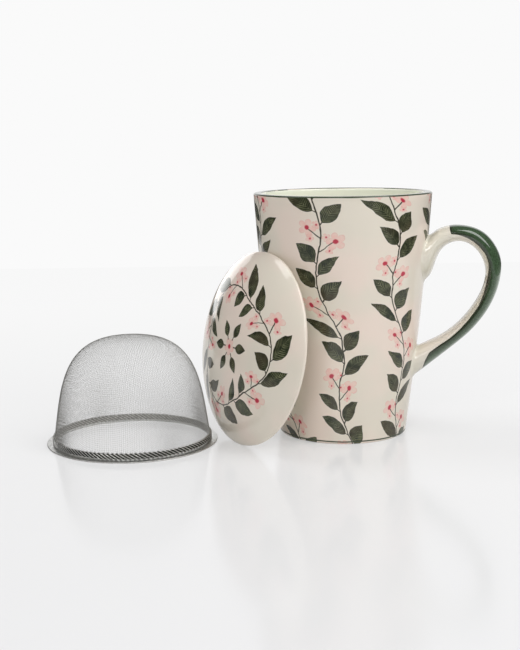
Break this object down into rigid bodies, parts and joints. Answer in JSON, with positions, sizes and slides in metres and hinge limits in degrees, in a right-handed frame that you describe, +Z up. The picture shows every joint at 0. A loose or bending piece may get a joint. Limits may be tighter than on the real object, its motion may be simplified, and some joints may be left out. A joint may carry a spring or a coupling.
{
  "type": "lidded tea mug with infuser",
  "caption": "Tapered stoneware tea mug with a strap handle, a loose domed lid that leans on its wall and a drop-in wire-mesh infuser lying upside down beside it.",
  "frame": {"origin": "centre of the mug's foot, on the table", "axes": "+Z up along the mug's axis and out of its mouth, +X through the middle of the handle"},
  "size_m": [0.2199, 0.1219, 0.12],
  "materials": {
    "cream_glaze": "gloss",
    "green_glaze": "gloss",
    "polished_steel": "polished",
    "woven_steel": "satin"
  },
  "bodies": {
    "mug": {"mug_body": "cream_glaze", "handle": "green_glaze"},
    "lid": {"lid": "cream_glaze"},
    "infuser": {"infuser_flange": "polished_steel", "infuser_hem": "woven_steel", "infuser_mesh": "woven_steel"}
  },
  "joints": [
    {"name": "lid_lift", "type": "slide", "parent": "mug", "child": "lid", "axis": [-0.0824, -0.0644, 0.9945], "range_m": [0, 0.13]},
    {"name": "infuser_lift", "type": "slide", "parent": "mug", "child": "infuser", "axis": [-0.2475, -0.0757, 0.9659], "range_m": [0, 0.13]}
  ]
}
